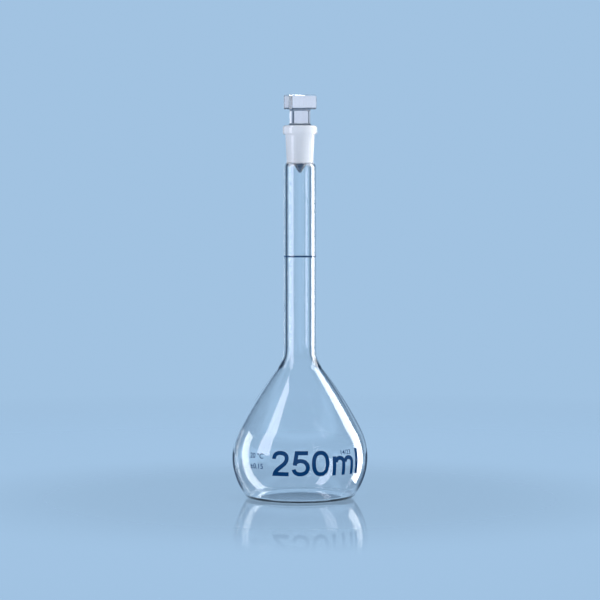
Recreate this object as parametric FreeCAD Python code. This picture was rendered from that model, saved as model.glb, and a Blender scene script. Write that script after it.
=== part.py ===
import FreeCAD, Part
import math
import os

# Volumetric flask for 250 ml with a ground socket and a hexagonal glass stopper.
# Millimetres, +Z up. The origin is the middle of the face that the flask stands on,
# and Z is the axis that every turned surface shares. Points are (radius, height) pairs.

# Driving dimensions: the blown bulb
TOTAL_HEIGHT = 220.0            # standing face to the rim of the socket
BULB_HEIGHT = 88.4              # standing face to where the straight neck begins
BELLY_DIAMETER = 80.2           # widest outside diameter
BELLY_HEIGHT = 23.8             # height of the widest circle
UPPER_BELLY_RADIUS = 39.0       # rounding from the widest circle up to the side
SIDE_RADIUS = 235.0             # the side is almost straight, with a slight swell
SHOULDER_RADIUS = 20.0          # hollow sweep from the side up into the neck
STANDING_DIAMETER = 58.0        # outer edge of the flat ring that touches the bench
STANDING_RING_WIDTH = 2.0
HEEL_RADIUS = 4.0               # outside rounding between belly and standing ring
INNER_HEEL_RADIUS = 3.0
PUNT_HEIGHT = 2.6               # push-up in the middle of the base
PUNT_EDGE_RADIUS = 6.0          # rounding between the standing ring and the push-up
FLOOR_THICKNESS = 1.6
BULB_WALL = 1.07                # gives 250 ml up to the mark

# Driving dimensions: the neck and its graduation
NECK_DIAMETER = 19.0
NECK_WALL = 2.0                 # heavier than the blown bulb, for a bore of 15
NECK_TOP_RADIUS = 4.0           # outside rounding where the neck closes in on the socket
NECK_TOP_LAND = 0.6             # short plain bore between the ground taper and the rounding inside
RING_ABOVE_BULB = 54.4          # graduation mark, measured up from the start of the neck
RING_WIDTH = 0.5
ENAMEL_THICKNESS = 0.05

# Driving dimensions: the ground joint, a standard 14/23 taper
JOINT_DIAMETER = 14.5           # large end of the socket's taper, at the rim
JOINT_TAPER = 0.1               # change of diameter per length
SOCKET_LENGTH = 22.0            # rim to the top of the neck
SOCKET_WALL = 1.75
COLLAR_WIDTH = 3.0              # rim, from the taper's large end outwards
COLLAR_HEIGHT = 5.4             # rim down to where the collar has run out
COLLAR_TOP_ROUND = 1.6
COLLAR_UNDER_ROUND = 1.4
RIM_CHAMFER = 0.3
JOINT_CLEARANCE = 0.04          # radial gap between the ground faces

# Driving dimensions: the stopper
CONE_PROUD = 0.2                # ground cone standing above the rim
CONE_LENGTH = 19.2
TIP_LENGTH = 8.8                # drip tip below the ground cone
TIP_ROUND = 1.2
SHANK_STEP = 1.1                # the shank is this much smaller in radius than the cone's top
SHANK_LENGTH = 9.2
HEAD_ACROSS_FLATS = 17.4
HEAD_HEIGHT = 8.6
HEAD_EDGE_ROUND = 1.1           # fire-polished edges
HEAD_COVE = 0.8                 # hollow sweep between shank and head
HEAD_TURN = -12.0               # degrees from +X to a corner of the head

# Derived radii and heights
BELLY_R = BELLY_DIAMETER / 2
STANDING_R = STANDING_DIAMETER / 2
PUNT_R = STANDING_R - STANDING_RING_WIDTH
NECK_R = NECK_DIAMETER / 2
JOINT_R = JOINT_DIAMETER / 2
COLLAR_R = JOINT_R + COLLAR_WIDTH
NECK_TOP = TOTAL_HEIGHT - SOCKET_LENGTH
RING_Z = BULB_HEIGHT + RING_ABOVE_BULB


def taper_radius(height):
    """Radius of the socket's ground taper at a height."""
    return JOINT_R - (TOTAL_HEIGHT - height) * JOINT_TAPER / 2


SOCKET_SMALL_R = taper_radius(NECK_TOP)
# Whatever the sizes, the neck closes in on the socket, outside and inside.
SOCKET_FOOT_R = min(SOCKET_SMALL_R + SOCKET_WALL, NECK_R - 0.5)
NECK_BORE_R = max(NECK_R - NECK_WALL, SOCKET_SMALL_R + 0.2)
CONE_TOP = TOTAL_HEIGHT + CONE_PROUD
CONE_BOTTOM = CONE_TOP - CONE_LENGTH
CONE_TOP_R = taper_radius(CONE_TOP) - JOINT_CLEARANCE
CONE_BOTTOM_R = taper_radius(CONE_BOTTOM) - JOINT_CLEARANCE
SHANK_R = CONE_TOP_R - SHANK_STEP
HEAD_BOTTOM = CONE_TOP + SHANK_LENGTH


def vector(point):
    """A (radius, height) pair as a point in the XZ plane."""
    return FreeCAD.Vector(point[0], 0, point[1])


def line(start, end):
    return Part.LineSegment(vector(start), vector(end)).toShape()


def arc(start, end, centre):
    """The shorter arc from start to end about a centre."""
    radius = math.dist(start, centre)
    middle = ((start[0] + end[0]) / 2 - centre[0], (start[1] + end[1]) / 2 - centre[1])
    stretch = radius / math.hypot(*middle)
    halfway = (centre[0] + middle[0] * stretch, centre[1] + middle[1] * stretch)
    return Part.Arc(vector(start), vector(halfway), vector(end)).toShape()


def turned(edges):
    """Solid made by turning a closed outline once round Z."""
    face = Part.Face(Part.Wire(Part.__sortEdges__(edges)))
    return face.revolve(FreeCAD.Vector(0, 0, 0), FreeCAD.Vector(0, 0, 1), 360)


def along(centre, point, distance):
    """The point at a distance from a centre, on the ray through another point."""
    share = distance / math.dist(centre, point)
    return (centre[0] + (point[0] - centre[0]) * share, centre[1] + (point[1] - centre[1]) * share)


def bulb_centres():
    """Centres of the arcs of the outside, from the neck to the belly's lower half, and its radius."""
    shoulder = (NECK_R + SHOULDER_RADIUS, BULB_HEIGHT)
    rise = BULB_HEIGHT - BELLY_HEIGHT
    reach = shoulder[0] - BELLY_R
    # The belly is no rounder than the room between it and the shoulder allows.
    room = (reach**2 + rise**2 - SHOULDER_RADIUS**2) / (2 * (BELLY_R - NECK_R))
    upper_radius = min(UPPER_BELLY_RADIUS, 0.95 * room)
    upper = (BELLY_R - upper_radius, BELLY_HEIGHT)
    # The side touches the shoulder from outside and the belly from inside.
    apart = math.dist(shoulder, upper)
    to_shoulder = SIDE_RADIUS + SHOULDER_RADIUS
    to_upper = SIDE_RADIUS - upper_radius
    advance = (apart**2 + to_upper**2 - to_shoulder**2) / (2 * apart)
    aside = math.sqrt(to_upper**2 - advance**2)
    ahead = ((shoulder[0] - upper[0]) / apart, (shoulder[1] - upper[1]) / apart)
    side = (
        upper[0] + ahead[0] * advance - ahead[1] * aside,
        upper[1] + ahead[1] * advance + ahead[0] * aside,
    )
    # The lower belly runs from the widest circle to the heel.
    inward = BELLY_R - STANDING_R
    drop = BELLY_HEIGHT - HEEL_RADIUS
    lower_radius = (inward**2 + drop**2 - HEEL_RADIUS**2) / (2 * (inward - HEEL_RADIUS))
    lower = (BELLY_R - lower_radius, BELLY_HEIGHT)
    return shoulder, side, upper, lower, lower_radius


def bulb_surface(neck_radius, inset, floor, heel_radius):
    """Meridian of the bulb from the neck down to the axis, inset from the outside below the shoulder."""
    shoulder, side, upper, lower, lower_radius = bulb_centres()
    # The shoulder leaves the neck upright at the bulb's top and touches the side from outside.
    neck_end = (neck_radius, BULB_HEIGHT)
    side_radius = SIDE_RADIUS - inset
    reach = neck_radius - side[0]
    shoulder_radius = (reach**2 + (BULB_HEIGHT - side[1]) ** 2 - side_radius**2) / (2 * (side_radius - reach))
    shoulder = (neck_radius + shoulder_radius, BULB_HEIGHT)
    shoulder_end = along(shoulder, side, shoulder_radius)
    side_end = along(side, upper, side_radius)
    widest = (BELLY_R - inset, BELLY_HEIGHT)
    round_radius = lower_radius - inset
    heel_height = floor + heel_radius
    heel_reach = math.sqrt((round_radius - heel_radius) ** 2 - (BELLY_HEIGHT - heel_height) ** 2)
    heel = (lower[0] + heel_reach, heel_height)
    heel_start = along(lower, heel, round_radius)
    heel_end = (heel[0], floor)
    # The push-up is a shallow dome, rounded where it leaves the standing ring.
    dome_radius = (PUNT_R**2 + PUNT_HEIGHT**2) / (2 * PUNT_HEIGHT) - PUNT_EDGE_RADIUS
    dome = (0, floor + PUNT_HEIGHT - dome_radius)
    edge = (PUNT_R, floor + PUNT_EDGE_RADIUS)
    ring_inside = (PUNT_R, floor)
    dome_end = along(dome, edge, dome_radius)
    dome_top = (0, floor + PUNT_HEIGHT)
    return [
        arc(neck_end, shoulder_end, shoulder),
        arc(shoulder_end, side_end, side),
        arc(side_end, widest, upper),
        arc(widest, heel_start, lower),
        arc(heel_start, heel_end, heel),
        line(heel_end, ring_inside),
        arc(ring_inside, dome_end, edge),
        arc(dome_end, dome_top, dome),
    ]


def make_bulb():
    """Blown pear-shaped bulb, open at the neck, with a pushed-up base."""
    outside = bulb_surface(NECK_R, 0, 0, HEEL_RADIUS)
    inside = bulb_surface(NECK_BORE_R, BULB_WALL, FLOOR_THICKNESS, INNER_HEEL_RADIUS)
    seam = line((NECK_BORE_R, BULB_HEIGHT), (NECK_R, BULB_HEIGHT))
    middle = line((0, PUNT_HEIGHT), (0, PUNT_HEIGHT + FLOOR_THICKNESS))
    return turned(outside + inside + [seam, middle])


def make_neck():
    """Straight neck tube, which closes in to carry the socket."""
    narrowing = NECK_R - SOCKET_FOOT_R
    round_rise = math.sqrt(NECK_TOP_RADIUS**2 - (NECK_TOP_RADIUS - narrowing) ** 2)
    round_centre = (NECK_R - NECK_TOP_RADIUS, NECK_TOP - round_rise)
    round_start = (NECK_R, round_centre[1])
    foot_outside = (SOCKET_FOOT_R, NECK_TOP)
    foot_inside = (SOCKET_SMALL_R, NECK_TOP)
    land_end = (SOCKET_SMALL_R, NECK_TOP - NECK_TOP_LAND)
    # Inside, an arc from the bore to the land keeps the wall about even under the outside rounding.
    bore_top = (NECK_BORE_R, round_start[1])
    inward = NECK_BORE_R - SOCKET_SMALL_R
    inside_radius = (inward**2 + (land_end[1] - bore_top[1]) ** 2) / (2 * inward)
    inside_centre = (NECK_BORE_R - inside_radius, bore_top[1])
    bore_bottom = (NECK_BORE_R, BULB_HEIGHT)
    outside_bottom = (NECK_R, BULB_HEIGHT)
    return turned([
        line(outside_bottom, round_start),
        arc(round_start, foot_outside, round_centre),
        line(foot_outside, foot_inside),
        line(foot_inside, land_end),
        arc(land_end, bore_top, inside_centre),
        line(bore_top, bore_bottom),
        line(bore_bottom, outside_bottom),
    ])


def make_ground_socket():
    """Tapered socket with a collar round its rim."""
    under_collar = TOTAL_HEIGHT - COLLAR_HEIGHT
    body_top = (taper_radius(under_collar) + SOCKET_WALL, under_collar)
    cove = COLLAR_R - body_top[0]
    collar_foot = (COLLAR_R, under_collar + COLLAR_UNDER_ROUND)
    collar_top = (COLLAR_R, TOTAL_HEIGHT - COLLAR_TOP_ROUND)
    rim_outside = (COLLAR_R - COLLAR_TOP_ROUND, TOTAL_HEIGHT)
    rim_inside = (JOINT_R + RIM_CHAMFER, TOTAL_HEIGHT)
    taper_top = (taper_radius(TOTAL_HEIGHT - RIM_CHAMFER), TOTAL_HEIGHT - RIM_CHAMFER)
    # The underside of the collar is an arc through its two ends that leaves the collar upright.
    under_radius = (cove**2 + COLLAR_UNDER_ROUND**2) / (2 * cove)
    return turned([
        line((SOCKET_FOOT_R, NECK_TOP), body_top),
        arc(body_top, collar_foot, (COLLAR_R - under_radius, collar_foot[1])),
        line(collar_foot, collar_top),
        arc(collar_top, rim_outside, (rim_outside[0], collar_top[1])),
        line(rim_outside, rim_inside),
        line(rim_inside, taper_top),
        line(taper_top, (SOCKET_SMALL_R, NECK_TOP)),
        line((SOCKET_SMALL_R, NECK_TOP), (SOCKET_FOOT_R, NECK_TOP)),
    ])


def make_graduation_ring():
    """Thin enamel line fired round the neck at the capacity mark."""
    bottom = RING_Z - RING_WIDTH / 2
    top = RING_Z + RING_WIDTH / 2
    outside = NECK_R + ENAMEL_THICKNESS
    return turned([
        line((NECK_R, bottom), (outside, bottom)),
        line((outside, bottom), (outside, top)),
        line((outside, top), (NECK_R, top)),
        line((NECK_R, top), (NECK_R, bottom)),
    ])


def make_stopper_head():
    """Hexagonal grip with rounded edges."""
    corner_r = HEAD_ACROSS_FLATS / math.sqrt(3)
    corners = []
    for number in range(7):
        angle = math.radians(HEAD_TURN + 60 * number)
        corners.append(FreeCAD.Vector(corner_r * math.cos(angle), corner_r * math.sin(angle), HEAD_BOTTOM))
    prism = Part.Face(Part.makePolygon(corners)).extrude(FreeCAD.Vector(0, 0, HEAD_HEIGHT))
    return prism.makeFillet(HEAD_EDGE_ROUND, prism.Edges)


def make_stopper():
    """One piece of glass: head, shank, ground cone and drip tip."""
    tip = (0, CONE_BOTTOM - TIP_LENGTH)
    tip_centre = (0, tip[1] + TIP_ROUND)
    cone_end = (CONE_BOTTOM_R, CONE_BOTTOM)
    # The side of the tip runs from the cone's lower edge and touches the rounding at its end.
    reach = math.dist(tip_centre, cone_end)
    lean = math.atan2(cone_end[1] - tip_centre[1], cone_end[0]) - math.acos(TIP_ROUND / reach)
    tip_side = (TIP_ROUND * math.cos(lean), tip_centre[1] + TIP_ROUND * math.sin(lean))
    cone_top = (CONE_TOP_R, CONE_TOP)
    shank_bottom = (SHANK_R, CONE_TOP + SHANK_STEP)
    shank_top = (SHANK_R, HEAD_BOTTOM - HEAD_COVE)
    cove_end = (SHANK_R + HEAD_COVE, HEAD_BOTTOM)
    # The shank reaches into the head, so that the two join as one solid.
    root = HEAD_BOTTOM + HEAD_HEIGHT / 2
    stem = turned([
        arc(tip, tip_side, tip_centre),
        line(tip_side, cone_end),
        line(cone_end, cone_top),
        arc(cone_top, shank_bottom, (CONE_TOP_R, shank_bottom[1])),
        line(shank_bottom, shank_top),
        arc(shank_top, cove_end, (cove_end[0], shank_top[1])),
        line(cove_end, (cove_end[0], root)),
        line((cove_end[0], root), (0, root)),
        line((0, root), tip),
    ])
    return make_stopper_head().fuse(stem).removeSplitter()


def capacity_to_mark():
    """Millilitres that the flask holds up to its graduation ring."""
    inside = bulb_surface(NECK_BORE_R, BULB_WALL, FLOOR_THICKNESS, INNER_HEEL_RADIUS)
    axis_bottom = (0, FLOOR_THICKNESS + PUNT_HEIGHT)
    axis_top = (0, RING_Z)
    lid = line((NECK_BORE_R, RING_Z), axis_top)
    bore = line((NECK_BORE_R, BULB_HEIGHT), (NECK_BORE_R, RING_Z))
    return turned(inside + [bore, lid, line(axis_top, axis_bottom)]).Volume / 1000


PIECES = {
    "bulb": make_bulb,
    "neck": make_neck,
    "ground_socket": make_ground_socket,
    "graduation_ring": make_graduation_ring,
    "stopper": make_stopper,
}

os.makedirs("parts", exist_ok=True)
for name, make in PIECES.items():
    piece = make()
    print(name, len(piece.Solids), "solid,", piece.isValid(), "%.1f mm3" % piece.Volume)
    piece.exportStep("parts/" + name + ".step")
print("capacity to the mark: %.1f ml" % capacity_to_mark())
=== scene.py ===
import math

import bpy
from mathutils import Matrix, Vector


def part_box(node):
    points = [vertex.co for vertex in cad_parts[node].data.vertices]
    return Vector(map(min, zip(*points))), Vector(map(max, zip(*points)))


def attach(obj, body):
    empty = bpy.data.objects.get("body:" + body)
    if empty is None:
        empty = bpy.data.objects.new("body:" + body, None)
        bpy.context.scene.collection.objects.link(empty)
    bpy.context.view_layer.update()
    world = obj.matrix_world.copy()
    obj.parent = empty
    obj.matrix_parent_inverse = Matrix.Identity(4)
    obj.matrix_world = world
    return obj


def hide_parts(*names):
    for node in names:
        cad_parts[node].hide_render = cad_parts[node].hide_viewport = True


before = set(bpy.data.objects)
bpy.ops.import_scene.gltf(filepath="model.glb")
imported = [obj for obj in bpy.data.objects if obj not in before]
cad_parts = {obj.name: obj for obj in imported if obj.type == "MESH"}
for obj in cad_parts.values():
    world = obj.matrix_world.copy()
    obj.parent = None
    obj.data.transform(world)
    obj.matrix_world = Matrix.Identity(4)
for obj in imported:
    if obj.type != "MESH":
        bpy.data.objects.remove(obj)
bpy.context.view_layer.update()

# Looks of a 250 ml volumetric flask with a hexagonal glass stopper.
# Turned and printed shapes are drawn in millimetres; top card, lamps, camera and shader distances are metres.
# Z is the axis of every turned surface, and outlines are (radius, height) pairs. Places round the belly are
# distances along it, from the middle of its printed front (-Y) towards +X.
MM = 0.001

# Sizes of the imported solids
BELLY_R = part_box("bulb")[1].x / MM
NECK_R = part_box("neck")[1].x / MM
BULB_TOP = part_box("neck")[0].z / MM
NECK_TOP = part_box("neck")[1].z / MM
COLLAR_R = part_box("ground_socket")[1].x / MM
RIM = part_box("ground_socket")[1].z / MM
MARK_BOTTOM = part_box("graduation_ring")[0].z / MM
MARK_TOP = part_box("graduation_ring")[1].z / MM
MARK_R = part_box("graduation_ring")[1].x / MM
TIP_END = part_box("stopper")[0].z / MM
HEAD_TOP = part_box("stopper")[1].z / MM

# Sizes inside those boxes, as the solids have them
BELLY_Z = 23.8
UPPER_BELLY_R = 39.0
SIDE_R = 235.0
SHOULDER_R = 20.0
STANDING_R = 29.0
PUNT_R = 27.0
PUNT_RISE = 2.6
PUNT_EDGE_R = 6.0
HEEL_R = 4.0
INNER_HEEL_R = 3.0
BULB_WALL = 1.07
BASE_WALL = 1.6
NECK_WALL = 2.0
NECK_BORE_R = NECK_R - NECK_WALL
NECK_TOP_R = 4.0
TAPER_R = 7.25
TAPER = 0.05
SOCKET_WALL = 1.75
COLLAR_HEIGHT = 5.4
COLLAR_COVE = 1.4
COLLAR_ROUND = 1.6
LAND = 0.6
CLEARANCE = 0.04
CONE_PROUD = 0.2
CONE_LENGTH = 19.2
CONE_TOP = RIM + CONE_PROUD
CONE_BOTTOM = CONE_TOP - CONE_LENGTH
TIP_ROUND = 1.2
SHANK_STEP = 1.1
HEAD_HEIGHT = 8.6
HEAD_BOTTOM = HEAD_TOP - HEAD_HEIGHT
HEAD_APOTHEM = 8.7
HEAD_EDGE_R = 1.1
HEAD_COVE = 0.8
HEAD_TURN = -12.0

# Softened edges, which the solids have sharp or chamfered: how far each softening reaches from its edge
MELT_OUT = 0.45
MELT_BELOW = 0.5
MELT_ABOVE = 0.9
COVE_BELOW = 0.5
COVE_OUT = 0.4
COVE_ABOVE = 0.1
MOUTH_OUT = 0.5
MOUTH_CORNER = 0.2  # how far out the bend of the mouth has its corner
MOUTH_BELOW = 0.4
CONE_EDGE = 0.4
CONE_END_IN = 0.25
CONE_END_BELOW = 0.35
MARK_EDGE_IN = 0.015
MARK_EDGE = 0.06

# Fineness of the meshes
ROUND_COUNT = 160
MARK_COUNT = 128
SET_COUNT = 64
ARC_STEP = 1.0
FINE_STEP = 0.8
MARK_STEP = 0.2
CORNER_SPREAD = 3.6  # degrees to either side of a corner of the head
CORNER_STEPS = 5
FLAT_STEPS = 10
EDGE_STEPS = 8
FIGURE_STEP = 0.08
CURVE_COUNT = 14
ZERO_COUNT = 64
FONT_FINENESS = 4
MITRE_LIMIT = 0.4
SHARP_R = 1e-4
NEXT_TO_NOTHING = 1e-6

# Finishes, each the number of a material in a piece's list
CLEAR, GROUND, POLISHED, HAZY = 0, 1, 2, 3


def straight(start, end, step):
    """Evenly spaced points on a straight line, with both its ends."""
    count = max(1, math.ceil(math.dist(start, end) / step))
    across, up = end[0] - start[0], end[1] - start[1]
    shares = [number / count for number in range(count + 1)]
    return [(start[0] + across * share, start[1] + up * share) for share in shares]


def weighted(shares, points):
    """The point that shares of several points add up to."""
    return tuple(sum(share * point[axis] for share, point in zip(shares, points)) for axis in (0, 1))


class Outline:
    """A line drawn from point to point in the (radius, height) plane, with a finish for each stretch."""

    def __init__(self, start):
        self.points = [start]
        self.finishes = []

    def follow(self, points, finish):
        self.points.extend(points)
        self.finishes.extend([finish] * len(points))

    def line(self, end, finish=CLEAR, step=2.5):
        self.follow(straight(self.points[-1], end, step)[1:], finish)

    def arc(self, end, centre, finish=CLEAR, turn=6.0):
        """The shorter way round a centre, in steps of at most a set length and a given turn in degrees."""
        start = self.points[-1]
        radius = math.dist(start, centre)
        first = math.atan2(start[1] - centre[1], start[0] - centre[0])
        last = math.atan2(end[1] - centre[1], end[0] - centre[0])
        sweep = (last - first + math.pi) % (2 * math.pi) - math.pi
        by_length = math.ceil(abs(sweep) * radius / ARC_STEP)
        by_turn = math.ceil(math.degrees(abs(sweep)) / turn)
        count = max(2, by_length, by_turn)
        for number in range(1, count):
            angle = first + sweep * number / count
            point = (centre[0] + radius * math.cos(angle), centre[1] + radius * math.sin(angle))
            self.follow([point], finish)
        self.follow([end], finish)

    def bend(self, corner, end, finish=CLEAR, count=7):
        """A soft turn that leaves towards the corner and arrives from it."""
        start = self.points[-1]
        for number in range(1, count + 1):
            t = number / count
            shares = ((1 - t) ** 2, 2 * t * (1 - t), t * t)
            self.follow([weighted(shares, (start, corner, end))], finish)


def along(centre, point, distance):
    """The point at a distance from a centre, on the ray through another point."""
    share = distance / math.dist(centre, point)
    return (centre[0] + (point[0] - centre[0]) * share, centre[1] + (point[1] - centre[1]) * share)


def taper_radius(height):
    return TAPER_R - (RIM - height) * TAPER


# Centres of the bulb's arcs, which are shared by its outside and its inside
SHOULDER = (NECK_R + SHOULDER_R, BULB_TOP)
UPPER = (BELLY_R - UPPER_BELLY_R, BELLY_Z)


def side_centre():
    """Centre of the long arc that touches the shoulder from outside and the belly from inside."""
    apart = math.dist(SHOULDER, UPPER)
    to_upper = SIDE_R - UPPER_BELLY_R
    advance = (apart**2 + to_upper**2 - (SIDE_R + SHOULDER_R) ** 2) / (2 * apart)
    aside = math.sqrt(to_upper**2 - advance**2)
    across, up = (SHOULDER[0] - UPPER[0]) / apart, (SHOULDER[1] - UPPER[1]) / apart
    return (UPPER[0] + across * advance - up * aside, UPPER[1] + up * advance + across * aside)


SIDE = side_centre()
INWARD = BELLY_R - STANDING_R
DROP = BELLY_Z - HEEL_R
LOWER_BELLY_R = (INWARD**2 + DROP**2 - HEEL_R**2) / (2 * (INWARD - HEEL_R))
LOWER = (BELLY_R - LOWER_BELLY_R, BELLY_Z)


def bulb_stretches(neck_radius, inset, floor, heel_radius):
    """The bulb's meridian from the axis up to the neck, as (end, centre) pairs.

    A straight stretch has no centre.
    """
    side_radius = SIDE_R - inset
    aside = neck_radius - SIDE[0]
    shoulder_radius = (aside**2 + (BULB_TOP - SIDE[1]) ** 2 - side_radius**2) / (2 * (side_radius - aside))
    shoulder = (neck_radius + shoulder_radius, BULB_TOP)
    dome_radius = (PUNT_R**2 + PUNT_RISE**2) / (2 * PUNT_RISE) - PUNT_EDGE_R
    dome = (0, floor + PUNT_RISE - dome_radius)
    punt_edge = (PUNT_R, floor + PUNT_EDGE_R)
    round_radius = LOWER_BELLY_R - inset
    heel_height = floor + heel_radius
    reach = math.sqrt((round_radius - heel_radius) ** 2 - (BELLY_Z - heel_height) ** 2)
    heel = (LOWER[0] + reach, heel_height)
    return [
        ((0, floor + PUNT_RISE), None),
        (along(dome, punt_edge, dome_radius), dome),
        ((PUNT_R, floor), punt_edge),
        ((heel[0], floor), None),
        (along(LOWER, heel, round_radius), heel),
        ((BELLY_R - inset, BELLY_Z), LOWER),
        (along(SIDE, UPPER, side_radius), UPPER),
        (along(shoulder, SIDE, shoulder_radius), SIDE),
        ((neck_radius, BULB_TOP), shoulder),
    ]


def draw(outline, stretches):
    for end, centre in stretches:
        if centre is None:
            outline.line(end)
        else:
            outline.arc(end, centre)


def flask_outline():
    """Once round the glass: up the outside from the push-up in the base, over the rim and down the inside."""
    outside = bulb_stretches(NECK_R, 0, 0, HEEL_R)
    outline = Outline(outside[0][0])
    draw(outline, outside[1:])
    foot = (taper_radius(NECK_TOP) + SOCKET_WALL, NECK_TOP)
    rise = math.sqrt(NECK_TOP_R**2 - (NECK_TOP_R - NECK_R + foot[0]) ** 2)
    round_centre = (NECK_R - NECK_TOP_R, NECK_TOP - rise)
    outline.line((NECK_R, round_centre[1]))
    # The neck runs into the socket through a small melted hollow.
    melt_start = along(round_centre, (foot[0] + MELT_OUT, NECK_TOP - MELT_BELOW), NECK_TOP_R)
    outline.arc(melt_start, round_centre, turn=4)
    outline.bend(foot, (foot[0] + MELT_ABOVE * TAPER, NECK_TOP + MELT_ABOVE), HAZY)
    # The collar stands out from the socket through a cove, and its top is rounded.
    under = RIM - COLLAR_HEIGHT
    body_top = (taper_radius(under) + SOCKET_WALL, under)
    cove = COLLAR_R - body_top[0]
    cove_radius = (cove**2 + COLLAR_COVE**2) / (2 * cove)
    cove_centre = (COLLAR_R - cove_radius, under + COLLAR_COVE)
    cove_start = along(cove_centre, (body_top[0] + COVE_OUT, under + COVE_ABOVE), cove_radius)
    outline.line((body_top[0] - COVE_BELOW * TAPER, under - COVE_BELOW), HAZY)
    outline.bend(body_top, cove_start, HAZY)
    outline.arc((COLLAR_R, cove_centre[1]), cove_centre, HAZY, turn=5)
    outline.line((COLLAR_R, RIM - COLLAR_ROUND), HAZY)
    outline.arc((COLLAR_R - COLLAR_ROUND, RIM), (COLLAR_R - COLLAR_ROUND, RIM - COLLAR_ROUND), HAZY)
    # The mouth is ground inside, down to a short plain land above the bore of the neck.
    outline.line((TAPER_R + MOUTH_OUT, RIM), step=FINE_STEP)
    ground_top = (taper_radius(RIM - MOUTH_BELOW), RIM - MOUTH_BELOW)
    outline.bend((TAPER_R + MOUTH_CORNER, RIM), ground_top, GROUND)
    outline.line((taper_radius(NECK_TOP), NECK_TOP), GROUND, step=FINE_STEP)
    land_end = (taper_radius(NECK_TOP), NECK_TOP - LAND)
    outline.line(land_end, step=LAND / 2)
    inward = NECK_BORE_R - land_end[0]
    inside_radius = (inward**2 + (land_end[1] - round_centre[1]) ** 2) / (2 * inward)
    outline.arc((NECK_BORE_R, round_centre[1]), (NECK_BORE_R - inside_radius, round_centre[1]), turn=4)
    outline.line((NECK_BORE_R, BULB_TOP))
    # The inside of the bulb is drawn from the top down, so its stretches run the other way.
    inside = bulb_stretches(NECK_BORE_R, BULB_WALL, BASE_WALL, INNER_HEEL_R)
    ends = [end for end, centre in inside]
    centres = [centre for end, centre in inside]
    draw(outline, list(zip(ends[-2::-1], centres[:0:-1])))
    return outline


def ring_mesh(name, angles, rings, finishes, closed=False):
    """A mesh of rings joined one to the next.

    A ring is (radii, height), and one with a radius of 0 is a point on the axis. A finish is for a whole
    stretch between two rings, or a list with one for each angle.
    """
    points, faces, used = [], [], []
    starts, sizes = [], []
    for radii, height in rings:
        starts.append(len(points))
        if radii[0] < NEXT_TO_NOTHING:
            points.append((0, 0, height * MM))
        else:
            for radius, angle in zip(radii, angles):
                points.append((radius * math.cos(angle) * MM, radius * math.sin(angle) * MM, height * MM))
        sizes.append(len(points) - starts[-1])
    pairs = [(number, number + 1) for number in range(len(rings) - 1)]
    if closed:
        pairs.append((len(rings) - 1, 0))
    for (low, high), finish in zip(pairs, finishes):
        for here in range(len(angles)):
            there = (here + 1) % len(angles)
            corners = [starts[low] + here % sizes[low], starts[low] + there % sizes[low]]
            corners += [starts[high] + there % sizes[high], starts[high] + here % sizes[high]]
            faces.append(list(dict.fromkeys(corners)))
            used.append(finish[here] if isinstance(finish, list) else finish)
    mesh = bpy.data.meshes.new(name)
    mesh.from_pydata(points, [], faces)
    mesh.polygons.foreach_set("use_smooth", [True] * len(faces))
    mesh.polygons.foreach_set("material_index", used)
    mesh.update()
    return mesh


def even_angles(count):
    return [2 * math.pi * number / count for number in range(count)]


def turned(name, outline, count, closed=False):
    """An outline turned about the axis. A closed one ends where it began."""
    rings = [([radius] * count, height) for radius, height in outline.points]
    if closed:
        rings.pop()
    return ring_mesh(name, even_angles(count), rings, outline.finishes, closed)


def head_angles():
    """Angles round the stopper, close together where the corners of its head are."""
    flat = 30 - CORNER_SPREAD
    offsets = [-30 + flat * number / FLAT_STEPS for number in range(FLAT_STEPS)]
    offsets += [CORNER_SPREAD * number / CORNER_STEPS for number in range(-CORNER_STEPS, CORNER_STEPS + 1)]
    offsets += [CORNER_SPREAD + flat * number / FLAT_STEPS for number in range(1, FLAT_STEPS)]
    return [math.radians(HEAD_TURN + 60 * corner + offset) for corner in range(6) for offset in offsets]


def from_corner(angle):
    """Degrees from the nearest corner of the head, between -30 and 30."""
    return (math.degrees(angle) - HEAD_TURN + 30) % 60 - 30


def hexagon(angles, inset):
    """Radii of the head's outline, drawn in by an inset that its corner rounding can take."""
    slant = math.radians(30)
    apothem = HEAD_APOTHEM - inset
    corner_r = max(HEAD_EDGE_R - inset, SHARP_R)
    to_corner = (apothem - corner_r) / math.cos(slant)
    edge_of_round = math.atan2(corner_r / 2, to_corner + corner_r * math.cos(slant))
    radii = []
    for angle in angles:
        off = math.radians(abs(from_corner(angle)))
        if off < edge_of_round:
            across = to_corner * math.sin(off)
            radii.append(to_corner * math.cos(off) + math.sqrt(corner_r**2 - across**2))
        else:
            radii.append(apothem / math.cos(slant - off))
    return radii


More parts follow.
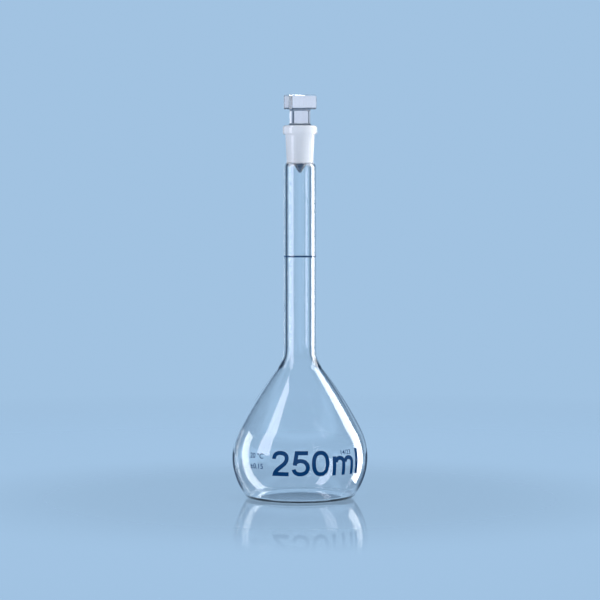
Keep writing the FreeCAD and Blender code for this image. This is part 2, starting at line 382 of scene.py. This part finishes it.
def stem_outline():
    """Drip tip, ground cone and shank, from the tip up to the underside of the head."""
    cone_end = (taper_radius(CONE_BOTTOM) - CLEARANCE, CONE_BOTTOM)
    cone_top = (taper_radius(CONE_TOP) - CLEARANCE, CONE_TOP)
    shank_r = cone_top[0] - SHANK_STEP
    tip_centre = (0, TIP_END + TIP_ROUND)
    reach = math.dist(tip_centre, cone_end)
    lean = math.atan2(cone_end[1] - tip_centre[1], cone_end[0]) - math.acos(TIP_ROUND / reach)
    tip_side = (TIP_ROUND * math.cos(lean), tip_centre[1] + TIP_ROUND * math.sin(lean))
    stem = Outline((0, TIP_END))
    stem.arc(tip_side, tip_centre, POLISHED, turn=8)
    stem.line((cone_end[0] - CONE_END_IN, CONE_BOTTOM - CONE_END_BELOW), POLISHED, step=FINE_STEP)
    stem.bend(cone_end, (cone_end[0] + CONE_EDGE * TAPER, CONE_BOTTOM + CONE_EDGE), POLISHED)
    stem.line((cone_top[0] - CONE_EDGE * TAPER, CONE_TOP - CONE_EDGE), GROUND, step=FINE_STEP)
    cove_centre = (cone_top[0], CONE_TOP + SHANK_STEP)
    cove_start = along(cove_centre, (cone_top[0] - CONE_EDGE, CONE_TOP), SHANK_STEP)
    stem.bend(cone_top, cove_start, POLISHED, count=4)
    stem.arc((shank_r, cove_centre[1]), cove_centre, POLISHED, turn=8)
    stem.line((shank_r, HEAD_BOTTOM - HEAD_COVE), step=FINE_STEP)
    stem.arc((shank_r + HEAD_COVE, HEAD_BOTTOM), (shank_r + HEAD_COVE, HEAD_BOTTOM - HEAD_COVE), turn=9)
    return stem


def stopper_mesh():
    """Stem and hexagonal head, as one piece of glass."""
    angles = head_angles()
    stem = stem_outline()
    rings = [([radius] * len(angles), height) for radius, height in stem.points]
    finishes = list(stem.finishes)
    edge = []
    for number in range(EDGE_STEPS + 1):
        turn = math.radians(90 * number / EDGE_STEPS)
        inset, rise = HEAD_EDGE_R * (1 - math.sin(turn)), HEAD_EDGE_R * (1 - math.cos(turn))
        edge.append((hexagon(angles, inset), rise))
    rings += [(radii, HEAD_BOTTOM + rise) for radii, rise in edge]
    finishes += [POLISHED] * len(edge)
    # The flats keep the haze of the mould, and the edges round them are fire-polished. A face goes by the
    # angle that it starts from.
    turns = [round(from_corner(angle), 3) for angle in angles]
    flats = [POLISHED if -CORNER_SPREAD <= turn < CORNER_SPREAD else HAZY for turn in turns]
    low, high = HEAD_BOTTOM + HEAD_EDGE_R, HEAD_TOP - HEAD_EDGE_R
    shares = (0.25, 0.5, 0.75)
    rings += [(hexagon(angles, 0), low + (high - low) * share) for share in shares]
    finishes += [flats] * (len(shares) + 1)
    rings += [(radii, HEAD_TOP - rise) for radii, rise in reversed(edge)]
    top = hexagon(angles, HEAD_EDGE_R)
    rings += [([radius * share for radius in top], HEAD_TOP) for share in (0.96, 0.8, 0.5, 0.2)]
    rings.append(([0], HEAD_TOP))
    finishes += [POLISHED] * (len(rings) - 1 - len(finishes))
    return ring_mesh("stopper_glass", angles, rings, finishes)


# Materials
GLASS_IOR = 1.473
GROUND_WHITE = (0.91, 0.95, 0.99, 1)
# Painted shade: the dark colour of the stopper's ground cone where it is seen from inside, through the clear
# tip
GROUND_PAINTED_SHADE = (0.30, 0.36, 0.46, 1)
NOISE_SPAN = (0.25, 0.75)


class Shading:
    """The nodes of a material or of the world, and the steps that are built from them."""

    def __init__(self, tree):
        self.nodes = tree.nodes
        self.links = tree.links

    def give(self, socket, value):
        """Set a socket to a number or colour, or link it to the output of another node."""
        if isinstance(value, (int, float, tuple)):
            socket.default_value = value
        else:
            self.links.new(value, socket)

    def output(self, kind, name):
        """One output of a new node."""
        return self.nodes.new(kind).outputs[name]

    def shader(self):
        """The shader that a new material comes with."""
        return self.nodes["Principled BSDF"]

    def show(self, surface):
        self.links.new(surface, self.nodes["Material Output"].inputs["Surface"])

    def calc(self, operation, *values):
        """The result of a sum on values that are numbers or come from other nodes."""
        step = self.nodes.new("ShaderNodeMath")
        step.operation = operation
        for socket, value in zip(step.inputs, values):
            self.give(socket, value)
        return step.outputs["Value"]

    def spread(self, value, start, end, low, high, easing="LINEAR"):
        """A number that goes from low to high while a value goes from start to end."""
        step = self.nodes.new("ShaderNodeMapRange")
        step.interpolation_type = easing
        for name, number in (("From Min", start), ("From Max", end), ("To Min", low), ("To Max", high)):
            step.inputs[name].default_value = number
        self.links.new(value, step.inputs["Value"])
        return step.outputs["Result"]

    def smooth(self, value, start, end, low=0.0, high=1.0):
        return self.spread(value, start, end, low, high, "SMOOTHSTEP")

    def noise(self, scale, detail, low=0.0, high=1.0):
        """Noise in the object's own metres, spread between two values."""
        texture = self.nodes.new("ShaderNodeTexNoise")
        texture.inputs["Scale"].default_value = scale
        texture.inputs["Detail"].default_value = detail
        self.links.new(self.output("ShaderNodeTexCoord", "Object"), texture.inputs["Vector"])
        return self.spread(texture.outputs["Fac"], *NOISE_SPAN, low, high)

    def tint(self, factor, first, second):
        """A colour between two, each given as numbers or by another node."""
        mix = self.nodes.new("ShaderNodeMix")
        mix.data_type = "RGBA"
        for name, value in (("Factor", factor), ("A", first), ("B", second)):
            self.give(mix.inputs[name], value)
        return mix.outputs["Result"]

    def blend(self, factor, first, second):
        """A surface between two."""
        mix = self.nodes.new("ShaderNodeMixShader")
        for socket, value in zip(mix.inputs, (factor, first, second)):
            self.links.new(value, socket)
        return mix.outputs["Shader"]

    def glow(self, color, strength=1.0):
        """A surface that gives off plain light of a colour."""
        light = self.nodes.new("ShaderNodeEmission")
        self.give(light.inputs["Color"], color)
        light.inputs["Strength"].default_value = strength
        return light.outputs["Emission"]


def new_material(name):
    material = bpy.data.materials.new(name)
    material.use_nodes = True
    return material, Shading(material.node_tree)


def new_glass(name, clearness):
    """A material of glass, its nodes and the inputs of its shader."""
    material, shading = new_material(name)
    inputs = shading.shader().inputs
    inputs["Transmission Weight"].default_value = clearness
    inputs["IOR"].default_value = GLASS_IOR
    return material, shading, inputs


def add_finish(shading, inputs, roughness, relief, strength, depth):
    """Roughness and a fine relief, each from noise."""
    shading.links.new(roughness, inputs["Roughness"])
    bump = shading.nodes.new("ShaderNodeBump")
    bump.inputs["Strength"].default_value = strength
    bump.inputs["Distance"].default_value = depth
    shading.links.new(relief, bump.inputs["Height"])
    shading.links.new(bump.outputs["Normal"], inputs["Normal"])


def clear_glass():
    material, shading, inputs = new_glass("clear_glass", clearness=1.0)
    inputs["Base Color"].default_value = (0.97, 0.985, 0.995, 1)
    roughness = shading.noise(scale=90, detail=3, low=0.0, high=0.03)
    relief = shading.noise(scale=45, detail=1)
    add_finish(shading, inputs, roughness, relief, strength=0.02, depth=0.001)
    return material


def pressed_glass(name, clearness):
    """Glass that is a little hazy from its mould or its working."""
    material, shading, inputs = new_glass(name, clearness)
    inputs["Base Color"].default_value = (0.96, 0.965, 1.0, 1)
    roughness = shading.noise(scale=400, detail=3, low=0.01, high=0.06)
    relief = shading.noise(scale=160, detail=2)
    add_finish(shading, inputs, roughness, relief, strength=0.05, depth=0.0005)
    return material


def ground_glass(name, inside=None):
    """Ground glass, white, with painted shade of another colour where it is seen through the glass that it
    ends.
    """
    material, shading, inputs = new_glass(name, clearness=0.18)
    color = GROUND_WHITE
    # A given inside colour is painted shade on the faces seen from within the glass.
    if inside:
        painted_shade_mask = shading.output("ShaderNodeNewGeometry", "Backfacing")
        color = shading.tint(painted_shade_mask, GROUND_WHITE, inside)
    shading.give(inputs["Base Color"], color)
    roughness = shading.noise(scale=2500, detail=3, low=0.42, high=0.62)
    relief = shading.noise(scale=4500, detail=3)
    add_finish(shading, inputs, roughness, relief, strength=0.25, depth=0.0001)
    return material


def blue_enamel():
    material, shading = new_material("blue_enamel")
    inputs = shading.shader().inputs
    cloud = shading.noise(scale=700, detail=4)
    color = shading.tint(cloud, (0.0005, 0.040, 0.135, 1), (0.001, 0.048, 0.160, 1))
    shading.give(inputs["Base Color"], color)
    inputs["Specular IOR Level"].default_value = 0.4
    roughness = shading.noise(scale=1500, detail=3, low=0.12, high=0.24)
    relief = shading.noise(scale=3000, detail=3)
    add_finish(shading, inputs, roughness, relief, strength=0.12, depth=0.0001)
    return material


GLASS = clear_glass()
PRESSED = pressed_glass("pressed_glass", clearness=0.85)
SHANK = pressed_glass("shank_glass", clearness=0.96)
SKIN = pressed_glass("socket_skin", clearness=0.76)
FROSTED = ground_glass("ground_glass")
# The ground cone's dark inside is painted shade, for the dark drip tip below the socket.
CONE = ground_glass("ground_cone", inside=GROUND_PAINTED_SHADE)
ENAMEL = blue_enamel()


# Pieces
def place(name, mesh, materials, body, slot, *nodes):
    """A piece that rides on a body and stands for the nodes named; its slot is not used."""
    piece = bpy.data.objects.new(name, mesh)
    for material in materials:
        mesh.materials.append(material)
    bpy.context.scene.collection.objects.link(piece)
    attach(piece, body)
    if nodes:
        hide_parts(*nodes)
    return piece


# Printed marks: the ring on the neck, and flat shapes wrapped round the belly, as thin fired-on layers
PRINT_SUNK = 0.02
PRINT_PROUD = 0.035
FONT_CAPITAL = 0.7
FONT_BOLDER = 0.008
LANES = (0.5, 0.25, 0, -0.25, -0.5)


def mark_outline():
    """The ring mark's section, with its two outer edges taken off."""
    root = NECK_R - PRINT_SUNK
    mark = Outline((root, MARK_BOTTOM))
    mark.line((MARK_R - MARK_EDGE_IN, MARK_BOTTOM))
    mark.line((MARK_R, MARK_BOTTOM + MARK_EDGE))
    mark.line((MARK_R, MARK_TOP - MARK_EDGE), step=MARK_STEP)
    mark.line((MARK_R - MARK_EDGE_IN, MARK_TOP))
    mark.line((root, MARK_TOP))
    mark.line((root, MARK_BOTTOM))
    return mark


def belly_point(across, height, proud):
    """A point on the belly's outside, or proud of it, in metres."""
    centre = UPPER if height > BELLY_Z else LOWER
    curve_radius = UPPER_BELLY_R if height > BELLY_Z else LOWER_BELLY_R
    lean = math.asin((height - BELLY_Z) / curve_radius)
    radius = centre[0] + (curve_radius + proud) * math.cos(lean)
    z = BELLY_Z + (curve_radius + proud) * math.sin(lean)
    angle = across / BELLY_R
    return (radius * math.sin(angle) * MM, -radius * math.cos(angle) * MM, z * MM)


def wrapped_mesh(name, points, faces):
    """A flat shape, counter-clockwise seen from outside, as a closed layer on the belly."""
    count = len(points)
    outer = [belly_point(x, y, PRINT_PROUD) for x, y in points]
    inner = [belly_point(x, y, -PRINT_SUNK) for x, y in points]
    edges = dict.fromkeys(edge for face in faces for edge in zip(face, face[1:] + face[:1]))
    border = [(here, there) for here, there in edges if (there, here) not in edges]
    sides = [(there, here, here + count, there + count) for here, there in border]
    backs = [tuple(corner + count for corner in reversed(face)) for face in faces]
    mesh = bpy.data.meshes.new(name)
    mesh.from_pydata(outer + inner, [], faces + backs + sides)
    mesh.update()
    return mesh


def curve(*points):
    """Points along a cubic curve through two ends with two handles."""
    result = []
    for number in range(CURVE_COUNT + 1):
        t = number / CURVE_COUNT
        shares = ((1 - t) ** 3, 3 * t * (1 - t) ** 2, 3 * t * t * (1 - t), t**3)
        result.append(weighted(shares, points))
    return result


def bar(start, end):
    return straight(start, end, FIGURE_STEP)


def path(*stretches):
    """Stretches joined end to end, without the points that two of them share."""
    points = [stretches[0][0]]
    for stretch in stretches:
        for point in stretch:
            if math.dist(point, points[-1]) > NEXT_TO_NOTHING:
                points.append(point)
    return points


def stroke(points, width, closed=False):
    """A band of even width along a path, as (points, faces), mitred where the path turns sharply."""
    count = len(points)
    rows = []
    for number in range(count):
        here = Vector(points[number])
        directions = []
        if closed or number:
            directions.append((here - Vector(points[number - 1])).normalized())
        if closed or number < count - 1:
            directions.append((Vector(points[(number + 1) % count]) - here).normalized())
        ahead = sum(directions, Vector((0, 0))).normalized()
        side = Vector((-ahead.y, ahead.x))
        stretch = 1 / max(MITRE_LIMIT, ahead.dot(directions[0]))
        rows.append([tuple(here + side * (width * stretch * share)) for share in LANES])
    faces = []
    for number in range(count if closed else count - 1):
        low, high = number * len(LANES), ((number + 1) % count) * len(LANES)
        for lane in range(len(LANES) - 1):
            faces.append((low + lane + 1, high + lane + 1, high + lane, low + lane))
    return [point for row in rows for point in row], faces


def figure_strokes(figure, width):
    """Strokes of a plain sans-serif figure, one high, each as (path, closed)."""
    low, high = width / 2, 1 - width / 2
    if figure == "2":
        return [(path(
            curve((0.08, 0.68), (0.08, 0.86), (0.19, high), (0.345, high)),
            curve((0.345, high), (0.50, high), (0.605, 0.85), (0.605, 0.71)),
            curve((0.605, 0.71), (0.605, 0.55), (0.48, 0.46), (0.33, 0.345)),
            curve((0.33, 0.345), (0.21, 0.25), (0.13, 0.19), (0.095, low)),
            bar((0.095, low), (0.68, low)),
        ), False)]
    if figure == "5":
        return [
            (path(bar((0.645, high), (0.19, high)), bar((0.19, high), (0.115, 0.43))), False),
            (path(
                curve((0.10, 0.475), (0.16, 0.575), (0.25, 0.61), (0.345, 0.61)),
                curve((0.345, 0.61), (0.52, 0.61), (0.635, 0.49), (0.635, 0.34)),
                curve((0.635, 0.34), (0.635, 0.18), (0.51, low), (0.335, low)),
                curve((0.335, low), (0.18, low), (0.09, 0.15), (0.075, 0.275)),
            ), False),
        ]
    if figure == "0":
        ring = []
        for angle in even_angles(ZERO_COUNT):
            across, up = math.cos(angle), math.sin(angle)
            ring.append((
                0.375 + (0.365 - low) * math.copysign(abs(across) ** 0.84, across),
                0.5 + (0.505 - low) * math.copysign(abs(up) ** 0.84, up),
            ))
        return [(ring, True)]
    if figure == "m":
        strokes = [(bar((low, 0), (low, 0.76)), False)]
        top = 0.77 - low
        for left in (0, 0.45):
            root, right = left + width, left + 0.45 + low
            strokes.append((path(
                curve((root - 0.01, 0.52), (root + 0.02, 0.64), (left + 0.23, top), (left + 0.32, top)),
                curve((left + 0.32, top), (left + 0.43, top), (right, 0.62), (right, 0.50)),
                bar((right, 0.50), (right, 0)),
            ), False))
        return strokes
    return [(bar((low, 0), (low, 1.02)), False)]


def print_figures(name, figures, lefts, bottom, height, width):
    """Large figures, each with the place of its left edge round the belly.

    The width is that of a stroke, for figures that are 1 high.
    """
    points, faces = [], []
    for figure, left in zip(figures, lefts):
        for line, closed in figure_strokes(figure, width):
            flat, cells = stroke(line, width, closed)
            first = len(points)
            points += [(left + x * height, bottom + y * height) for x, y in flat]
            faces += [tuple(first + corner for corner in cell) for cell in cells]
    place(name, wrapped_mesh(name, points, faces), [ENAMEL], "flask", "blue_enamel")


def print_text(name, words, middle, bottom, height):
    """Small text in the built-in font, centred on a place round the belly."""
    lettering = bpy.data.curves.new(name, "FONT")
    lettering.body = words
    lettering.align_x = "CENTER"
    lettering.resolution_u = FONT_FINENESS
    lettering.offset = FONT_BOLDER
    holder = bpy.data.objects.new(name + "_flat", lettering)
    flat = bpy.data.meshes.new_from_object(holder)
    scale = height / FONT_CAPITAL
    points = [(middle + vertex.co.x * scale, bottom + vertex.co.y * scale) for vertex in flat.vertices]
    faces = []
    for polygon in flat.polygons:
        corners = tuple(polygon.vertices)
        faces.append(corners if polygon.normal.z > 0 else corners[::-1])
    bpy.data.objects.remove(holder)
    bpy.data.curves.remove(lettering)
    bpy.data.meshes.remove(flat)
    place(name, wrapped_mesh(name, points, faces), [ENAMEL], "flask", "blue_enamel")


flask_mesh = turned("flask_glass", flask_outline(), ROUND_COUNT)
flask_materials = [GLASS, FROSTED, GLASS, SKIN]
flask = place("flask_glass", flask_mesh, flask_materials, "flask", "clear_glass",
              "bulb", "neck", "ground_socket")
stopper_materials = [SHANK, CONE, GLASS, PRESSED]
stopper = place("stopper_glass", stopper_mesh(), stopper_materials, "stopper", "clear_glass", "stopper")
# The hazy flats are lit through the clear glass round them.
stopper.visible_shadow = False
ring_mark_mesh = turned("ring_mark", mark_outline(), MARK_COUNT, closed=True)
ring = place("ring_mark", ring_mark_mesh, [ENAMEL], "flask", "blue_enamel", "graduation_ring")
figure_lefts = (-16.6, -4.7, 6.8, 19.8, 37.4)
print_figures("capacity_print", "250ml", figure_lefts, bottom=16.9, height=14.6, width=0.162)
print_text("joint_size_print", "14/23", middle=29.2, bottom=28.8, height=2.6)
print_text("temperature_print", "20 °C", middle=-27.5, bottom=26.6, height=3.0)
print_text("tolerance_print", "±0.15", middle=-27.5, bottom=20.6, height=3.0)


# Set: a pale floor that fades into a pale surround, soft lamps beside the flask, and the camera
PALE = (0.36, 0.545, 0.76, 1)
CARD = (0.60, 0.68, 0.83, 1)
DARK = (0.035, 0.065, 0.12, 1)
DAYLIGHT = (1.0, 1.01, 1.03, 1)
WHITE = (1, 1, 1)
LILAC = (0.92, 0.90, 1)
FLOOR_Z = -0.1
FLOOR_RADII = (3000, 600, 150)
CARDS_R = 300
CARDS_BOTTOM = 205
CARDS_TOP = 272


def aim(thing, target):
    thing.rotation_euler = (Vector(target) - thing.location).to_track_quat("-Z", "Y").to_euler()


def add_to_set(name, mesh):
    """An object with a material of its own, and the nodes of that material."""
    thing = bpy.data.objects.new(name, mesh)
    bpy.context.scene.collection.objects.link(thing)
    material, shading = new_material(name)
    mesh.materials.append(material)
    return thing, shading


def windows(shading, vector, count, turned_by, start, end, darkest=0.0):
    """Windows and dark panels in turn round the axis, as a number that is 1 in a window.

    It goes over from panel to window while the cosine of the turned bearing goes from start to end.
    """
    bearing = shading.calc("ARCTAN2", vector.outputs["X"], vector.outputs["Y"])
    turns = shading.calc("MULTIPLY_ADD", bearing, count, -math.radians(count * turned_by))
    return shading.smooth(shading.calc("COSINE", turns), start, end, darkest)


def make_floor():
    rings = [([radius] * SET_COUNT, FLOOR_Z) for radius in FLOOR_RADII] + [([0], FLOOR_Z)]
    mesh = ring_mesh("floor", even_angles(SET_COUNT), rings, [CLEAR] * len(FLOOR_RADII))
    floor, shading = add_to_set("floor", mesh)
    matt = shading.shader()
    matt.inputs["Base Color"].default_value = PALE
    matt.inputs["Specular IOR Level"].default_value = 0
    # What the camera sees, by itself, in a reflection or through glass, is mostly even.
    rays = shading.nodes.new("ShaderNodeLightPath").outputs
    seen = shading.calc("MAXIMUM", rays["Is Glossy Ray"], rays["Is Transmission Ray"])
    seen = shading.calc("MAXIMUM", rays["Is Camera Ray"], seen)
    even = shading.calc("MULTIPLY", seen, 0.75)
    lit = shading.blend(even, matt.outputs["BSDF"], shading.glow(PALE))
    # It shines only close to the flask, and far out it gives way to the surround, so that no edge shows.
    length = shading.nodes.new("ShaderNodeVectorMath")
    length.operation = "LENGTH"
    shading.links.new(shading.output("ShaderNodeTexCoord", "Object"), length.inputs[0])
    distance = length.outputs["Value"]
    shine = shading.nodes.new("ShaderNodeBsdfGlossy")
    shine.inputs["Roughness"].default_value = 0.03
    slant = shading.nodes.new("ShaderNodeFresnel")
    slant.inputs["IOR"].default_value = 1.3
    close = shading.smooth(distance, 0.10, 0.25, low=1.0, high=0.0)
    shining = shading.calc("MULTIPLY", slant.outputs["Fac"], close)
    glossed = shading.blend(shining, lit, shine.outputs["BSDF"])
    # What the glass mirrors lies past the floor, except right beside the base, as round a narrow table.
    past = shading.calc("MULTIPLY", rays["Glossy Depth"], shading.smooth(distance, 0.035, 0.05))
    past = shading.calc("MINIMUM", past, 1)
    gone = shading.calc("MAXIMUM", past, shading.smooth(distance, 0.25, 0.8))
    shading.show(shading.blend(gone, glossed, shading.output("ShaderNodeBsdfTransparent", "BSDF")))
    floor.visible_shadow = False


def make_cards():
    """Pale cards with dark gaps round the top of the neck, which only the clear stopper shows."""
    rings = [([CARDS_R] * SET_COUNT, height) for height in (CARDS_BOTTOM, CARDS_TOP)]
    mesh = ring_mesh("cards", even_angles(SET_COUNT), rings, [CLEAR])
    cards, shading = add_to_set("cards", mesh)
    position = shading.nodes.new("ShaderNodeSeparateXYZ")
    shading.links.new(shading.output("ShaderNodeTexCoord", "Object"), position.inputs["Vector"])
    pale = windows(shading, position, count=5, turned_by=28.8, start=0.895, end=0.804)
    shown = shading.glow(shading.tint(pale, DARK, CARD))
    # What flask or stopper mirrors lies past the cards.
    past = shading.calc("MINIMUM", shading.output("ShaderNodeLightPath", "Glossy Depth"), 1)
    shading.show(shading.blend(past, shown, shading.output("ShaderNodeBsdfTransparent", "BSDF")))
    cards.visible_camera = False
    cards.visible_diffuse = False
    cards.visible_glossy = False
    cards.visible_shadow = False


def make_top_card():
    """A white card above the front left, mirrored only as far off as the stopper's top edge is at rest."""
    half = 0.06
    mesh = bpy.data.meshes.new("top_card")
    corners = [(-half, -half, 0), (half, -half, 0), (half, half, 0), (-half, half, 0)]
    mesh.from_pydata(corners, [], [(0, 1, 2, 3)])
    card, shading = add_to_set("top_card", mesh)
    card.location = (-0.034, -0.039, HEAD_TOP * MM + 0.118)
    aim(card, (0, 0, HEAD_TOP * MM))
    rays = shading.nodes.new("ShaderNodeLightPath").outputs
    near = shading.smooth(rays["Ray Length"], 0.138, 0.144, low=1.0, high=0.0)
    far = shading.smooth(rays["Ray Length"], 0.110, 0.120)
    inside = shading.calc("MINIMUM", rays["Transmission Depth"], 1)
    shown = shading.calc("MULTIPLY", near, far)
    shown = shading.calc("MULTIPLY", shown, shading.calc("SUBTRACT", 1, inside))
    clear = shading.output("ShaderNodeBsdfTransparent", "BSDF")
    shading.show(shading.blend(shown, clear, shading.glow((1, 1, 1, 1), strength=36)))
    card.visible_camera = False
    card.visible_diffuse = False
    card.visible_transmission = False
    card.visible_shadow = False


def make_world():
    """A pale surround with dark panels between its windows, for the dark lines along edges of glass."""
    world = bpy.data.worlds.new("surround")
    world.use_nodes = True
    bpy.context.scene.world = world
    shading = Shading(world.node_tree)
    direction = shading.nodes.new("ShaderNodeSeparateXYZ")
    shading.links.new(shading.output("ShaderNodeTexCoord", "Generated"), direction.inputs["Vector"])
    height = direction.outputs["Z"]
    # Eight narrow windows are for the thin wall of the bulb. Higher up, for the thick neck, there are four
    # wide ones, crossed by half-dark panels.
    narrow = windows(shading, direction, count=8, turned_by=0, start=-0.35, end=0.15)
    wide = windows(shading, direction, count=4, turned_by=-41, start=0.65, end=0.45)
    crossed = windows(shading, direction, count=4, turned_by=16, start=0.94, end=0.88, darkest=0.4)
    wide = shading.calc("MULTIPLY", wide, crossed)
    upper = shading.smooth(height, -0.068, -0.060)
    pale = shading.calc("MULTIPLY_ADD", upper, shading.calc("SUBTRACT", wide, narrow), narrow)
    # Dark bands low and high leave a pale belt at eye level and a pale ring overhead. Straight through the
    # glass, low down is where the floor fades into the surround, and pale as well.
    rays = shading.nodes.new("ShaderNodeLightPath").outputs
    mirrored = shading.calc("MINIMUM", rays["Glossy Depth"], 1)
    belt = shading.smooth(height, -0.22, -0.14)
    pale = shading.calc("MULTIPLY", pale, belt)
    below, straight_on = shading.calc("SUBTRACT", 1, belt), shading.calc("SUBTRACT", 1, mirrored)
    pale = shading.calc("ADD", pale, shading.calc("MULTIPLY", below, straight_on))
    pale = shading.calc("MULTIPLY", pale, shading.smooth(height, 0.18, 0.24, low=1.0, high=0.0))
    overhead = shading.smooth(height, 0.55, 0.65)
    not_zenith = shading.smooth(height, 0.70, 0.78, low=1.0, high=0.0)
    pale = shading.calc("MULTIPLY_ADD", overhead, not_zenith, pale)
    shown = shading.tint(pale, DARK, PALE)
    shown = shading.tint(rays["Is Camera Ray"], shown, PALE)
    shown = shading.tint(shading.calc("MINIMUM", rays["Diffuse Depth"], 1), shown, DAYLIGHT)
    shading.links.new(shown, shading.nodes["Background"].inputs["Color"])


def add_lamp(name, pieces, bearing, distance, low, high, width, radiance, color=WHITE, matt=True, clear=True):
    """A soft upright lamp of a given radiance, for some pieces, or for all where none is named.

    The bearing turns from +Y towards -X, in degrees. The lamp can leave out what is matt or what is clear.
    """
    lamp = bpy.data.lights.new(name, "AREA")
    lamp.shape = "RECTANGLE"
    lamp.size, lamp.size_y = width, high - low
    lamp.color = color
    lamp.energy = radiance * math.pi * width * (high - low)
    holder = bpy.data.objects.new(name, lamp)
    turn, middle = math.radians(bearing), (low + high) / 2
    holder.location = (-math.sin(turn) * distance, math.cos(turn) * distance, middle)
    aim(holder, (0, 0, middle))
    holder.visible_camera = False
    holder.visible_diffuse = matt
    holder.visible_glossy = clear
    holder.visible_transmission = clear
    if pieces:
        lit = bpy.data.collections.new(name)
        for piece in pieces:
            lit.objects.link(piece)
        holder.light_linking.receiver_collection = lit
    bpy.context.scene.collection.objects.link(holder)
    return holder


def make_camera():
    camera = bpy.data.cameras.new("camera")
    camera.sensor_width = 36
    camera.lens = 161.7
    holder = bpy.data.objects.new("camera", camera)
    holder.location = (0, -1.59, 0.190)
    aim(holder, (0, 0, 0.1171))
    bpy.context.scene.collection.objects.link(holder)
    bpy.context.scene.camera = holder


make_floor()
make_cards()
make_top_card()
make_world()
# The two tall lamps draw the strips on flask and neck. Those near them are for the flask's ground glass and
# for the stopper, and the one overhead is for all that is matt.
add_lamp("right_soft", [flask, ring], bearing=299, distance=0.54, low=-0.24, high=0.85, width=0.225,
         radiance=5.5, matt=False)
add_lamp("right_matt", [flask], bearing=265, distance=0.20, low=0.03, high=0.42, width=0.08,
         radiance=10, clear=False)
add_lamp("right_gentle", [stopper], bearing=295, distance=0.20, low=0.03, high=0.42, width=0.08,
         radiance=1.0)
add_lamp("left_soft", [flask, ring], bearing=117, distance=0.33, low=0.063, high=0.59, width=0.135,
         radiance=4.5, color=LILAC, matt=False)
add_lamp("left_gentle", [stopper], bearing=118, distance=0.20, low=0.03, high=0.42, width=0.068,
         radiance=0.8, color=LILAC)
overhead_lamp = add_lamp("overhead_soft", [], bearing=10, distance=0.5, low=1.0, high=1.9, width=0.9,
                         radiance=0.25, clear=False)
aim(overhead_lamp, (0, 0, 0.1))
make_camera()
bpy.context.scene.view_settings.view_transform = "Standard"
# Light goes through many walls of glass.
bpy.context.scene.cycles.max_bounces = 24
bpy.context.scene.cycles.transmission_bounces = 24
bpy.context.scene.cycles.glossy_bounces = 12
